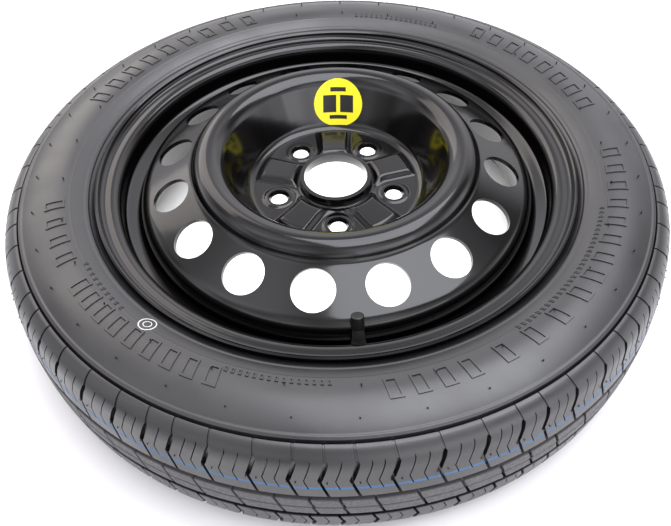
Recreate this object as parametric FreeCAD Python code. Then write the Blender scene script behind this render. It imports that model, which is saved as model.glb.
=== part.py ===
"""Temporary-use spare wheel: a narrow tyre on a pressed-steel wheel, lying flat.

Millimetres. Z is the wheel's axis, with the outer face up. Sections are drawn with x as radius and
z as height above the wheel's centre plane, and the finished pieces are lifted so that the lower
sidewall rests on Z = 0.
"""
import FreeCAD
import Part

import math
import os

Vector = FreeCAD.Vector
ORIGIN = Vector(0, 0, 0)
AXIS = Vector(0, 0, 1)
OUTWARD = Vector(1, 0, 0)
INWARD = Vector(-1, 0, 0)
TOUCH = 1e-6

# Tyre
TYRE_RADIUS = 303.0
SECTION_WIDTH = 125.0
SIDEWALL_CREST_RADIUS = 256.0
SHOULDER_LINE_RADIUS = 284.0
SHOULDER_LINE_DROP = 7.1
TREAD_EDGE_HEIGHT = 41.0
CROWN_DROP = 3.7
RIM_GUARD_GAP = 4.5
RIM_GUARD_DROP = 11.2
TREAD_THICKNESS = 10.0
SIDEWALL_THICKNESS = 7.0
LINER_EDGE_DROP = 1.5
LINER_EDGE_HEIGHT = 33.0
BEAD_TOE_LENGTH = 18.5
BEAD_APEX_RISE = 12.0
BEAD_APEX_INSET = 9.0
TYRE_FIT = 0.3
FLANGE_FOLLOW = 40.0

# Tread grooves
GROOVE_CENTRE = -4.0
GROOVE_SPACING = 14.0
GROOVE_DEPTH = 5.5
WIDE_GROOVE = 6.0
FINE_GROOVE = 1.5

# Rim
BEAD_SEAT_RADIUS = 202.8
RIM_WIDTH = 88.9
RIM_SHEET = 2.8
FLANGE_HEIGHT = 17.2
FLANGE_CURL = 8.5
FLANGE_LIP = 0.5
HEEL_BEND = 5.5
BEAD_SEAT_WIDTH = 20.0
BEAD_SEAT_TAPER = 5.0
LEDGE_BEND = 5.8
LEDGE_SLOPE = 20.0
WELL_DEPTH = 16.0
WELL_BEND = 3.0

# Wheel disc
DISC_SHEET = 4.0
DISC_FIT = 0.05
DISC_FLANGE_END = -2.0
DISC_EDGE_BEND = 18.0
VENT_RING_INSET = 30.0
VENT_RING_HEIGHT = 49.1
VENT_RING_SLOPE = 23.3
CROWN_RADIUS = 118.0
CROWN_HEIGHT = 71.0
CROWN_BEND = 11.5
CROWN_OUTER_SLOPE = 68.0
CROWN_FOOT_BEND = 11.0
BOWL_SLOPE = 64.0
BOWL_FOOT_BEND = 7.0
HUB_FACE_HEIGHT = 18.0
BORE_RADIUS = 30.05
COLLAR_HEIGHT = 31.6
COLLAR_BEND = 3.0
VENT_COUNT = 16
VENT_RADIUS = 18.25
VENT_PHASE = 14.8
VENT_CUT = 24.0

# Hub star, bolt holes
BOLT_COUNT = 5
BOLT_CIRCLE = 114.3
BOLT_PHASE = -89.1
BOLT_HOLE_RADIUS = 7.5
BOLT_SEAT_RADIUS = 9.6
BOLT_SEAT_SLOPE = 30.0
BOLT_POCKET_RADIUS = 20.0
STAR_RADIUS = 80.0
STAR_RISE = 5.0
STAR_DRAFT = 1.5
STAR_FLARE = 4.0
STAR_CORNER = 5.0
STAR_EDGE = 2.2

# Seam welds under the disc
WELD_COUNT = 8
WELD_SPAN = 26.0
WELD_LEG = 4.0

# Valve, measured along its own axis from the rim's visible ledge
VALVE_AZIMUTH = -85.8
VALVE_FROM_CREASE = 7.3
VALVE_HOLE_RADIUS = 5.65
VALVE_BODY_FIT = 0.15
VALVE_SHOULDER_RADIUS = 6.1
VALVE_SHOULDER_LIFT = 0.3
VALVE_SHOULDER_TOP = 4.0
VALVE_WAIST_RADIUS = 5.0
VALVE_WAIST = 9.0
VALVE_NECK_RADIUS = 4.7
VALVE_BODY_TOP = 18.0
VALVE_HEAD_RADIUS = 7.6
VALVE_HEAD_LENGTH = 5.0
VALVE_HEAD_END_RADIUS = 5.4
STEM_FIT = 0.02
STEM_SHANK_RADIUS = 3.2
STEM_FLANGE_RADIUS = 4.2
STEM_FLANGE = 0.8
STEM_THREAD_RADIUS = 3.85
STEM_TOP = 28.0
STEM_END = -8.0
STEM_BORE_RADIUS = 1.75
CORE_BORE_RADIUS = 2.6
CORE_BORE_DEPTH = 9.0
CORE_SEAT_DEPTH = 11.5

# Valve core
CORE_FIT = 0.05
PLUG_TOP_DEPTH = 1.0
PLUG_LENGTH = 4.0
PLUG_FLAT_WIDTH = 2.8
PLUG_FLAT_LENGTH = 1.8
BARREL_RADIUS = 1.65
BARREL_LENGTH = 8.0
BARREL_BORE = 1.15
BARREL_FLOOR = 1.0
GASKET_LENGTH = 2.0
PIN_RADIUS = 0.5
PIN_GUIDE_FIT = 0.1
PIN_TOP_DEPTH = 0.4
PIN_COLLAR_RADIUS = 0.95
PIN_COLLAR_LENGTH = 0.7
PIN_TAIL = 1.0
CUP_RADIUS = 1.5
CUP_LENGTH = 2.0
CUP_SEAL_LENGTH = 0.8
SPRING_WIRE = 0.2
SPRING_TURNS = 5
SPRING_STEPS = 12

# Valve cap
CAP_RADIUS = 5.2
CAP_GAP = 0.2
CAP_ROOF = 1.4
CAP_SEAL_LENGTH = 1.0
CAP_THREAD_FIT = 0.1
CAP_GRIP_COUNT = 24
CAP_GRIP_RADIUS = 0.45
CAP_GRIP_LENGTH = 7.5
CAP_EDGE = 1.0

# Round sticker on the bowl wall
LABEL_RADIUS = 25.0
LABEL_AZIMUTH = 87.0
LABEL_THICKNESS = 0.3
LABEL_FIT = 0.05

# Sizes that follow from those above
HALF_WIDTH = SECTION_WIDTH / 2
HALF_RIM = RIM_WIDTH / 2
FLANGE_RADIUS = BEAD_SEAT_RADIUS + FLANGE_HEIGHT
WELL_RADIUS = BEAD_SEAT_RADIUS - WELL_DEPTH
WELL_INNER_RADIUS = WELL_RADIUS - RIM_SHEET
DISC_RADIUS = WELL_INNER_RADIUS - DISC_FIT
VENT_RING_RADIUS = DISC_RADIUS - VENT_RING_INSET
RIM_GUARD_RADIUS = FLANGE_RADIUS + RIM_GUARD_GAP
COLLAR_RADIUS = BORE_RADIUS + DISC_SHEET
PAD_HEIGHT = HUB_FACE_HEIGHT + DISC_SHEET
STAR_HEIGHT = PAD_HEIGHT + STAR_RISE
BOLT_RADIUS = BOLT_CIRCLE / 2


def tangent(angle):
    return math.tan(math.radians(angle))


def flat(radius, height):
    """Point of a section."""
    return Vector(radius, 0, height)


def heading(angle):
    """Direction in a section, turned from outward towards up."""
    return Vector(math.cos(math.radians(angle)), 0, math.sin(math.radians(angle)))


def left_of(way):
    return Vector(-way.z, 0, way.x)


def backwards(stations):
    return [tuple(reversed(station)) for station in reversed(stations)]


def mirrored(stations):
    """The same outline on the other side of the centre plane, run the other way."""
    return [tuple(flat(p.x, -p.z) for p in station) for station in backwards(stations)]


def tangent_arc(start, way, end):
    """Arc that leaves start along way and stops at end."""
    chord = end - start
    normal = left_of(way)
    bend = chord.dot(chord) / (2 * chord.dot(normal))
    centre = start + normal * bend
    middle = ((start + end) * 0.5 - centre).normalize()
    return start, centre + middle * abs(bend), end


def bent_path(corners, shift):
    """Stations of a path with rounded corners, shifted to its left.

    Each corner is (radius, height, bend radius). A station is one point, or an arc's begin,
    middle and end.
    """
    points = [flat(r, z) for r, z, _ in corners]
    ways = [(b - a).normalize() for a, b in zip(points, points[1:])]
    stations = [(points[0] + left_of(ways[0]) * shift,)]
    for (_, _, bend), point, way_in, way_out in zip(corners[1:], points[1:], ways, ways[1:]):
        turn = math.atan2(left_of(way_in).dot(way_out), way_in.dot(way_out))
        side = math.copysign(1, turn)
        reach = bend * math.tan(abs(turn) / 2)
        begin = point - way_in * reach
        end = point + way_out * reach
        centre = begin + left_of(way_in) * (side * bend)
        middle = centre + (point - centre).normalize() * (bend - side * shift)
        stations.append((begin + left_of(way_in) * shift, middle, end + left_of(way_out) * shift))
    stations.append((points[-1] + left_of(ways[-1]) * shift,))
    return stations


def closed_face(stations):
    """Face inside a ring of stations, with straight lines from each to the next."""
    edges = []
    for here, there in zip(stations, stations[1:] + stations[:1]):
        if len(here) == 3:
            edges.append(Part.Arc(*here).toShape())
        if here[-1].distanceToPoint(there[0]) > TOUCH:
            edges.append(Part.LineSegment(here[-1], there[0]).toShape())
    return Part.Face(Part.Wire(edges))


def sheet_face(corners, near, far):
    """Section of a bent sheet between two shifts from the same path."""
    return closed_face(bent_path(corners, near) + backwards(bent_path(corners, far)))


def turned(face, span=360):
    return face.revolve(ORIGIN, AXIS, span)


def turned_points(points):
    """Solid turned from a closed ring of (radius, height) points."""
    return turned(closed_face([(flat(r, z),) for r, z in points]))


def rod(radius, low, high):
    return Part.makeCylinder(radius, high - low, Vector(0, 0, low))


def tube(outer, inner, low, high):
    return rod(outer, low, high).cut(rod(inner, low, high))


def spun(shape, angle):
    return shape.rotated(ORIGIN, AXIS, angle)


def rim_corners():
    """Tyre side of the rim, from the lower lip to the upper one."""
    seat_end = HALF_RIM - BEAD_SEAT_WIDTH
    seat_end_radius = BEAD_SEAT_RADIUS - BEAD_SEAT_WIDTH * tangent(BEAD_SEAT_TAPER)
    well_half = seat_end - (seat_end_radius - WELL_RADIUS) * tangent(LEDGE_SLOPE)
    upper = [
        (WELL_RADIUS, well_half, WELL_BEND),
        (seat_end_radius, seat_end, LEDGE_BEND),
        (BEAD_SEAT_RADIUS, HALF_RIM, HEEL_BEND),
        (FLANGE_RADIUS, HALF_RIM, FLANGE_CURL),
        (FLANGE_RADIUS, HALF_RIM + FLANGE_CURL + FLANGE_LIP, 0),
    ]
    lower = [(r, -z, bend) for r, z, bend in reversed(upper)]
    return lower + upper


def disc_corners():
    """Visible side of the wheel disc, from the flange's lower edge over the crown to the collar."""
    vent_fall = tangent(VENT_RING_SLOPE)
    edge_height = VENT_RING_HEIGHT - (DISC_RADIUS - VENT_RING_RADIUS) * vent_fall
    outer_top = CROWN_RADIUS + CROWN_BEND * tangent(CROWN_OUTER_SLOPE / 2)
    inner_top = CROWN_RADIUS - CROWN_BEND * tangent(BOWL_SLOPE / 2)
    wall_rise = tangent(CROWN_OUTER_SLOPE)
    cone_at_top = VENT_RING_HEIGHT + (VENT_RING_RADIUS - outer_top) * vent_fall
    foot_radius = outer_top + (CROWN_HEIGHT - cone_at_top) / (wall_rise - vent_fall)
    foot_height = CROWN_HEIGHT - (foot_radius - outer_top) * wall_rise
    bowl_foot = inner_top - (CROWN_HEIGHT - PAD_HEIGHT) / tangent(BOWL_SLOPE)
    return [
        (DISC_RADIUS, DISC_FLANGE_END, 0),
        (DISC_RADIUS, edge_height, DISC_EDGE_BEND),
        (foot_radius, foot_height, CROWN_FOOT_BEND),
        (outer_top, CROWN_HEIGHT, CROWN_BEND),
        (inner_top, CROWN_HEIGHT, CROWN_BEND),
        (bowl_foot, PAD_HEIGHT, BOWL_FOOT_BEND),
        (COLLAR_RADIUS, PAD_HEIGHT, COLLAR_BEND),
        (COLLAR_RADIUS, COLLAR_HEIGHT, 0),
    ]


def tyre_bead():
    """Outer side of the bead, from its toe along the rim's seat and flange, just clear of them."""
    toe_height = HALF_RIM - BEAD_TOE_LENGTH
    toe_radius = BEAD_SEAT_RADIUS - BEAD_TOE_LENGTH * tangent(BEAD_SEAT_TAPER)
    curl_radius = FLANGE_RADIUS - FLANGE_CURL
    seat = bent_path([
        (toe_radius, toe_height, 0),
        (BEAD_SEAT_RADIUS, HALF_RIM, HEEL_BEND),
        (curl_radius, HALF_RIM, 0),
    ], -TYRE_FIT)
    curl = flat(curl_radius, HALF_RIM + FLANGE_CURL)
    reach = FLANGE_CURL + TYRE_FIT
    angles = (-90, FLANGE_FOLLOW / 2 - 90, FLANGE_FOLLOW - 90)
    return seat[:-1] + [tuple(curl + heading(angle) * reach for angle in angles)]


def make_tyre():
    crest = flat(SIDEWALL_CREST_RADIUS, HALF_WIDTH)
    shoulder = flat(SHOULDER_LINE_RADIUS, HALF_WIDTH - SHOULDER_LINE_DROP)
    guard = flat(RIM_GUARD_RADIUS, HALF_WIDTH - RIM_GUARD_DROP)
    tread_top = flat(TYRE_RADIUS, 0)
    edge = flat(TYRE_RADIUS - CROWN_DROP, TREAD_EDGE_HEIGHT)
    low_edge = flat(edge.x, -edge.z)
    tread = tangent_arc(tread_top, AXIS, edge)
    crown_bend = (edge - tread_top).Length ** 2 / (2 * CROWN_DROP)
    edge_way = left_of((edge - flat(TYRE_RADIUS - crown_bend, 0)).normalize())
    bead = tyre_bead()
    outer = [
        tread,
        tangent_arc(edge, edge_way, shoulder),
        tuple(reversed(tangent_arc(crest, OUTWARD, shoulder))),
        tangent_arc(crest, INWARD, guard),
    ] + backwards(bead)

    toe = bead[0][0]
    liner_top = flat(TYRE_RADIUS - TREAD_THICKNESS, 0)
    liner_edge = flat(liner_top.x - LINER_EDGE_DROP, LINER_EDGE_HEIGHT)
    liner_crest = flat(SIDEWALL_CREST_RADIUS, HALF_WIDTH - SIDEWALL_THICKNESS)
    apex = toe + flat(BEAD_APEX_RISE, BEAD_APEX_INSET)
    inner = [
        tuple(reversed(tangent_arc(liner_crest, INWARD, apex))),
        tangent_arc(liner_crest, OUTWARD, liner_edge),
        tuple(reversed(tangent_arc(liner_top, AXIS, liner_edge))),
    ]
    tyre = turned(closed_face(mirrored(outer) + outer + inner + mirrored(inner)))

    floor = TYRE_RADIUS - GROOVE_DEPTH
    grooves = []
    for step, width in ((-1, WIDE_GROOVE), (0, FINE_GROOVE), (1, WIDE_GROOVE)):
        middle = GROOVE_CENTRE + step * GROOVE_SPACING
        low = middle - width / 2
        grooves.append(tube(TYRE_RADIUS + TREAD_THICKNESS, floor, low, low + width))
    return tyre.cut(grooves)


def crease_point():
    """Where the rim's visible ledge would meet the underside of its bead seat."""
    corner = rim_corners()[6]
    ledge = left_of(heading(LEDGE_SLOPE))
    seat = left_of(heading(90 - BEAD_SEAT_TAPER))
    across = (ledge + seat) * (RIM_SHEET / (1 + ledge.dot(seat)))
    return flat(corner[0], corner[1]) + across


def on_valve(shape):
    """Move a piece modelled upright at the origin to the valve's seat on the ledge."""
    seat = crease_point() - heading(LEDGE_SLOPE) * VALVE_FROM_CREASE
    moved = shape.rotated(ORIGIN, Vector(0, 1, 0), -LEDGE_SLOPE)
    moved.translate(seat)
    return spun(moved, VALVE_AZIMUTH)


def make_rim():
    rim = turned(sheet_face(rim_corners(), 0, RIM_SHEET))
    return rim.cut(on_valve(rod(VALVE_HOLE_RADIUS, -WELL_DEPTH, WELL_DEPTH)))


def star_wire(height, grow):
    """Outline of the raised hub star: arms between round pockets, centred on the bolts."""
    pocket = BOLT_POCKET_RADIUS - grow
    end_radius = STAR_RADIUS + grow
    half_step = 180 / BOLT_COUNT
    touch_angle = 90 + half_step - STAR_FLARE

    def pocket_point(bolt_angle, turn):
        centre = heading(bolt_angle) * BOLT_RADIUS
        return centre + heading(bolt_angle + turn) * pocket

    def arm_end(bolt_angle, side):
        start = pocket_point(bolt_angle, side * touch_angle)
        way = heading(bolt_angle + side * (touch_angle - 90))
        along = start.dot(way)
        return start + way * (math.sqrt(along ** 2 - start.dot(start) + end_radius ** 2) - along)

    stations = []
    for index in range(BOLT_COUNT):
        bolt = BOLT_PHASE + index * 360 / BOLT_COUNT
        following = bolt + 360 / BOLT_COUNT
        stations.append((
            pocket_point(bolt, -touch_angle),
            pocket_point(bolt, 180),
            pocket_point(bolt, touch_angle),
        ))
        stations.append((
            arm_end(bolt, 1),
            heading(bolt + half_step) * end_radius,
            arm_end(following, -1),
        ))
    wire = closed_face(stations).OuterWire
    wire.rotate(ORIGIN, OUTWARD, -90)
    wire.translate(AXIS * height)
    return wire


def rises(edge):
    return edge.BoundBox.ZLength > TOUCH


def star_block(low, high, shrink):
    """Drafted star between two heights."""
    wires = [star_wire(low, STAR_DRAFT - shrink), star_wire(high, -STAR_DRAFT - shrink)]
    block = Part.makeLoft(wires, True, True)
    ends = STAR_RADIUS - STAR_CORNER
    corners = [e for e in block.Edges if rises(e) and e.CenterOfMass.Length > ends]
    block = block.makeFillet(STAR_CORNER, corners)
    top = [e for e in block.Edges if abs(e.BoundBox.ZMin - high) < TOUCH]
    return block.makeFillet(STAR_EDGE, top)


def make_disc():
    disc = turned(sheet_face(disc_corners(), 0, DISC_SHEET))
    star = star_block(PAD_HEIGHT, STAR_HEIGHT, 0).cut(rod(BORE_RADIUS, PAD_HEIGHT, STAR_HEIGHT))
    hollow = star_block(HUB_FACE_HEIGHT, HUB_FACE_HEIGHT + STAR_RISE, DISC_SHEET / 2)
    disc = disc.fuse(star).cut(hollow)

    vent = rod(VENT_RADIUS, -VENT_CUT / 2, VENT_CUT / 2)
    vent = vent.rotated(ORIGIN, Vector(0, 1, 0), VENT_RING_SLOPE)
    vent.translate(flat(VENT_RING_RADIUS, VENT_RING_HEIGHT))
    vents = [spun(vent, VENT_PHASE + k * 360 / VENT_COUNT) for k in range(VENT_COUNT)]

    seat_depth = (BOLT_SEAT_RADIUS - BOLT_HOLE_RADIUS) / tangent(BOLT_SEAT_SLOPE)
    seat = Part.makeCone(BOLT_HOLE_RADIUS, BOLT_SEAT_RADIUS, seat_depth)
    seat.translate(flat(BOLT_RADIUS, PAD_HEIGHT - seat_depth))
    hole = rod(BOLT_HOLE_RADIUS, HUB_FACE_HEIGHT - DISC_SHEET, STAR_HEIGHT)
    hole.translate(flat(BOLT_RADIUS, 0))
    hole = hole.fuse(seat)
    holes = [spun(hole, BOLT_PHASE + k * 360 / BOLT_COUNT) for k in range(BOLT_COUNT)]
    return disc.cut(vents + holes)


def make_welds():
    """Fillet welds under the disc's flange, in the corner that it makes with the rim's well."""
    top = DISC_FLANGE_END
    bead = closed_face([
        (flat(DISC_RADIUS, top),),
        (flat(DISC_RADIUS - WELD_LEG, top),),
        (flat(DISC_RADIUS, top - WELD_LEG),),
    ])
    bead = turned(bead, WELD_SPAN)
    step = 360 / WELD_COUNT
    return Part.makeCompound([spun(bead, k * step) for k in range(WELD_COUNT)])


def make_valve_body(rim):
    """Rubber body: a head inside the rim, a neck in its hole and a tapered body outside."""
    neck = VALVE_HOLE_RADIUS - VALVE_BODY_FIT
    seat = -RIM_SHEET - VALVE_BODY_FIT
    core = STEM_SHANK_RADIUS + STEM_FIT
    body = turned_points([
        (core, seat - VALVE_HEAD_LENGTH),
        (VALVE_HEAD_END_RADIUS, seat - VALVE_HEAD_LENGTH),
        (VALVE_HEAD_RADIUS, seat - VALVE_HEAD_LENGTH / 2),
        (VALVE_HEAD_RADIUS, seat),
        (neck, seat),
        (neck, VALVE_SHOULDER_LIFT),
        (VALVE_SHOULDER_RADIUS, VALVE_SHOULDER_LIFT),
        (VALVE_SHOULDER_RADIUS, VALVE_SHOULDER_TOP),
        (VALVE_WAIST_RADIUS, VALVE_WAIST),
        (VALVE_NECK_RADIUS, VALVE_BODY_TOP),
        (core, VALVE_BODY_TOP),
    ])
    return on_valve(body).cut(rim)


def make_valve_stem():
    """Brass tube moulded into the body, with a bore for the core."""
    bore_end = STEM_TOP - CORE_BORE_DEPTH
    seat_end = STEM_TOP - CORE_SEAT_DEPTH
    flange = VALVE_BODY_TOP + STEM_FIT
    return turned_points([
        (STEM_BORE_RADIUS, STEM_END),
        (STEM_SHANK_RADIUS, STEM_END),
        (STEM_SHANK_RADIUS, flange),
        (STEM_FLANGE_RADIUS, flange),
        (STEM_FLANGE_RADIUS, flange + STEM_FLANGE),
        (STEM_THREAD_RADIUS, flange + STEM_FLANGE),
        (STEM_THREAD_RADIUS, STEM_TOP),
        (CORE_BORE_RADIUS, STEM_TOP),
        (CORE_BORE_RADIUS, bore_end),
        (STEM_BORE_RADIUS, seat_end),
    ])


def core_levels():
    """Heights along the valve of the core's plug, barrel and cup."""
    plug_top = STEM_TOP - PLUG_TOP_DEPTH
    barrel_top = plug_top - PLUG_LENGTH
    barrel_end = barrel_top - BARREL_LENGTH
    return plug_top, barrel_top, barrel_end


def make_core_plug():
    """Threaded plug that screws into the stem, with two flats for its key."""
    plug_top, barrel_top, _ = core_levels()
    radius = CORE_BORE_RADIUS - CORE_FIT
    plug = tube(radius, PIN_RADIUS + PIN_GUIDE_FIT, barrel_top, plug_top)
    for side in (-1, 1):
        cut = Part.makeBox(2 * radius, 2 * radius, PLUG_FLAT_LENGTH)
        shift = side * (PLUG_FLAT_WIDTH / 2 + radius) - radius
        cut.translate(Vector(-radius, shift, plug_top - PLUG_FLAT_LENGTH))
        plug = plug.cut(cut)
    return plug


def make_core_barrel():
    _, top, end = core_levels()
    barrel = tube(BARREL_RADIUS, BARREL_BORE, end + BARREL_FLOOR, top)
    return barrel.fuse(tube(BARREL_RADIUS, PIN_RADIUS + PIN_GUIDE_FIT, end, end + BARREL_FLOOR))


def make_core_gasket():
    """Ring on the barrel that seals against the stem's cone."""
    seat = STEM_TOP - CORE_BORE_DEPTH
    inner = BARREL_RADIUS + STEM_FIT
    return tube(CORE_BORE_RADIUS - CORE_FIT, inner, seat, seat + GASKET_LENGTH)


def pin_collar_top():
    _, top, _ = core_levels()
    return top - CORE_FIT


def make_core_pin():
    """Pin that is pressed to open the valve, with the collar that its spring lifts."""
    _, _, end = core_levels()
    collar_top = pin_collar_top()
    tail = end - CUP_SEAL_LENGTH - CUP_LENGTH - PIN_TAIL
    pin = rod(PIN_RADIUS, tail, STEM_TOP - PIN_TOP_DEPTH)
    return pin.fuse(rod(PIN_COLLAR_RADIUS, collar_top - PIN_COLLAR_LENGTH, collar_top))


def make_core_cup():
    _, _, end = core_levels()
    top = end - CUP_SEAL_LENGTH - CORE_FIT
    return tube(CUP_RADIUS, PIN_RADIUS + STEM_FIT, top - CUP_LENGTH, top)


def make_cup_seal():
    _, _, end = core_levels()
    return tube(CUP_RADIUS, PIN_RADIUS + STEM_FIT, end - CUP_SEAL_LENGTH, end - CORE_FIT / 2)


def make_core_spring():
    """Coil of six-sided wire between the barrel's floor and the pin's collar."""
    _, _, end = core_levels()
    low = end + BARREL_FLOOR + SPRING_WIRE / 2 + CORE_FIT
    high = pin_collar_top() - PIN_COLLAR_LENGTH - SPRING_WIRE / 2 - CORE_FIT
    radius = (PIN_COLLAR_RADIUS + PIN_RADIUS) / 2 + PIN_GUIDE_FIT
    steps = SPRING_TURNS * SPRING_STEPS
    sections = []
    for step in range(steps + 1):
        middle = flat(radius, low + (high - low) * step / steps)
        corners = [middle + heading(60 * k) * (SPRING_WIRE / 2) for k in range(7)]
        sections.append(spun(Part.makePolygon(corners), step * 360 / SPRING_STEPS))
    return Part.makeLoft(sections, True, True)


def cap_levels():
    """Heights along the valve of the cap's skirt, inner roof and top."""
    roof = STEM_TOP + CAP_SEAL_LENGTH + 2 * CORE_FIT
    skirt = VALVE_BODY_TOP + STEM_FIT + STEM_FLANGE + CAP_GAP
    return skirt, roof, roof + CAP_ROOF


def make_valve_cap():
    """Moulded cap with grip flutes round its skirt."""
    skirt, roof, top = cap_levels()
    cap = rod(CAP_RADIUS, skirt, top)
    rim_edges = [edge for edge in cap.Edges if abs(edge.CenterOfMass.z - top) < TOUCH]
    cap = cap.makeFillet(CAP_EDGE, rim_edges)
    bore = STEM_THREAD_RADIUS + CAP_THREAD_FIT
    cap = cap.cut(rod(bore, skirt, roof))
    flute = rod(CAP_GRIP_RADIUS, skirt, skirt + CAP_GRIP_LENGTH)
    flute.translate(OUTWARD * (CAP_RADIUS + CAP_GRIP_RADIUS / 3))
    return cap.cut([spun(flute, k * 360 / CAP_GRIP_COUNT) for k in range(CAP_GRIP_COUNT)])


def make_cap_seal():
    _, roof, _ = cap_levels()
    return rod(STEM_THREAD_RADIUS, roof - CAP_SEAL_LENGTH - CORE_FIT, roof - CORE_FIT)


def make_label():
    """Round sticker that follows the bowl's wall and the bends at both ends of it."""
    corners = disc_corners()[3:7]
    film = turned(sheet_face(corners, -LABEL_FIT, -LABEL_FIT - LABEL_THICKNESS))
    _, top, foot, _ = [flat(r, z) for r, z, _ in corners]
    normal = left_of(heading(BOWL_SLOPE))
    centre = (top + foot) * 0.5
    punch = Part.makeCylinder(LABEL_RADIUS, 2 * LABEL_RADIUS, centre - normal * LABEL_RADIUS, normal)
    return spun(film.common(punch), LABEL_AZIMUTH)


def main():
    rim = make_rim()
    pieces = {
        "tyre": make_tyre(),
        "rim": rim,
        "wheel_disc": make_disc(),
        "disc_welds": make_welds(),
        "valve_body": make_valve_body(rim),
        "valve_stem": on_valve(make_valve_stem()),
        "core_plug": on_valve(make_core_plug()),
        "core_barrel": on_valve(make_core_barrel()),
        "core_gasket": on_valve(make_core_gasket()),
        "core_pin": on_valve(make_core_pin()),
        "core_cup": on_valve(make_core_cup()),
        "core_cup_seal": on_valve(make_cup_seal()),
        "core_spring": on_valve(make_core_spring()),
        "valve_cap": on_valve(make_valve_cap()),
        "cap_seal": on_valve(make_cap_seal()),
        "round_label": make_label(),
    }
    os.makedirs("parts", exist_ok=True)
    for name, shape in pieces.items():
        shape.translate(AXIS * HALF_WIDTH)
        shape.exportStep("parts/" + name + ".step")
        solids = len(shape.Solids)
        print(name, "solids", solids, "valid", shape.isValid(), "volume", round(shape.Volume, 2))


main()
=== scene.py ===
# %% [markdown]
# # Spare wheel, lying flat
# A space-saver spare wheel is a narrow tyre on a pressed-steel wheel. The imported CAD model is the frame:
# its bodies, sizes and places stay as they are. The CAD meshes could be dressed as they come, but gloss
# paint shows every facet. So the tyre, rim and disc are turned again here from finer sections, and the
# other pieces keep their CAD shapes.

# %% Frame
import math

import bpy
import numpy as np
from mathutils import Matrix, Vector


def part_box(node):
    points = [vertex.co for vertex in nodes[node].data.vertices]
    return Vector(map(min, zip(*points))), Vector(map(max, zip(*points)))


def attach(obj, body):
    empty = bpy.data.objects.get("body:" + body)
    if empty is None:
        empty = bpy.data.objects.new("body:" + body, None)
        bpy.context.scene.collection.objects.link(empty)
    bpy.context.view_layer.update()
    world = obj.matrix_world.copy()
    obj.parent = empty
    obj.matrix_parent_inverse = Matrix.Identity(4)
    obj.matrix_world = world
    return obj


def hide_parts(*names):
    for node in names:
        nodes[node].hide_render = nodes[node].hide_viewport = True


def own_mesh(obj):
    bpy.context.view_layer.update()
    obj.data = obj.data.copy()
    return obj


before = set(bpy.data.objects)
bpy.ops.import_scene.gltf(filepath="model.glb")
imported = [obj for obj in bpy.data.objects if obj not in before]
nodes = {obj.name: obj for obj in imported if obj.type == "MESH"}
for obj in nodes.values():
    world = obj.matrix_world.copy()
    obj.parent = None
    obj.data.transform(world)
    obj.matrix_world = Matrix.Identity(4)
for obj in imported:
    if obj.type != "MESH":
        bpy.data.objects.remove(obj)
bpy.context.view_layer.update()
MM = 0.001
HALF_WIDTH = 62.5

# %% [markdown]
# The camera is a close look down at the wheel from the front, with a slight roll. It could be placed by
# eye, but a close lens turns circles into ellipses that show every error. So it was fitted to the
# ellipses of the rim, the crown and the bore, and its numbers are written down here.

# %% Camera
ELEVATION = math.radians(44.41)
ROLL = math.radians(-1.75)
DISTANCE = 0.724


def aim_camera():
    """Camera that looks at the wheel's middle, with its lens shifted to the picture's frame."""
    data = bpy.data.cameras.new("camera")
    data.sensor_fit = "HORIZONTAL"
    data.sensor_width = 36.0
    data.lens = 39.43
    data.shift_x = -0.0012
    data.shift_y = -0.0958
    back = Vector((0, -math.cos(ELEVATION), math.sin(ELEVATION)))
    level = Vector((1, 0, 0))
    rise = Vector((0, math.sin(ELEVATION), math.cos(ELEVATION)))
    right = level * math.cos(ROLL) + rise * math.sin(ROLL)
    up = rise * math.cos(ROLL) - level * math.sin(ROLL)
    turn = Matrix((right, up, back)).transposed().to_4x4()
    camera = bpy.data.objects.new("camera", data)
    centre = Vector((0, 0, HALF_WIDTH * MM))
    camera.matrix_world = Matrix.Translation(centre + back * DISTANCE) @ turn
    bpy.context.scene.collection.objects.link(camera)
    bpy.context.scene.camera = camera
    return camera


print("camera at", [round(v, 3) for v in aim_camera().location])

# %% [markdown]
# Every finish on this wheel is a Principled shader with constant values, some with fine noise. Nodes
# could be added one by one in each material, but small helpers keep the list of finishes readable: hex
# colours become linear ones, one function adds a node, and noise is sized in millimetres.

# %% Material helpers


def hex_colour(code):
    """Linear colour from a hex code."""
    parts = [int(code[i:i + 2], 16) / 255 for i in (0, 2, 4)]
    linear = [v / 12.92 if v <= 0.04045 else ((v + 0.055) / 1.055) ** 2.4 for v in parts]
    return (*linear, 1.0)


def node(tree, kind, inputs=None, **settings):
    """Shader node whose inputs are values, or sockets to link from."""
    made = tree.nodes.new(kind)
    for name, value in settings.items():
        setattr(made, name, value)
    for key, value in (inputs or {}).items():
        if isinstance(value, bpy.types.NodeSocket):
            tree.links.new(value, made.inputs[key])
        else:
            made.inputs[key].default_value = value
    return made


def material(name, colour, roughness, **more):
    """Principled material with constant values on its sockets."""
    made = bpy.data.materials.new(name)
    made.use_nodes = True
    shader = made.node_tree.nodes["Principled BSDF"]
    shader.inputs["Base Color"].default_value = hex_colour(colour)
    shader.inputs["Roughness"].default_value = roughness
    for key, value in more.items():
        shader.inputs[key.replace("_", " ")].default_value = value
    return made, made.node_tree, shader


def speckle(tree, size, detail=2.0):
    """Noise with grains about size millimetres across, in the object's own space."""
    place = node(tree, "ShaderNodeTexCoord")
    return node(tree, "ShaderNodeTexNoise", {
        "Vector": place.outputs["Object"], "Scale": 1 / (size * MM), "Detail": detail})


def spread(tree, source, low, high):
    """Noise value stretched to the range from low to high."""
    made = node(tree, "ShaderNodeMapRange", {
        "Value": source.outputs["Fac"], "From Min": 0.3, "From Max": 0.7, "To Min": low, "To Max": high})
    return made.outputs["Result"]


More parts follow.
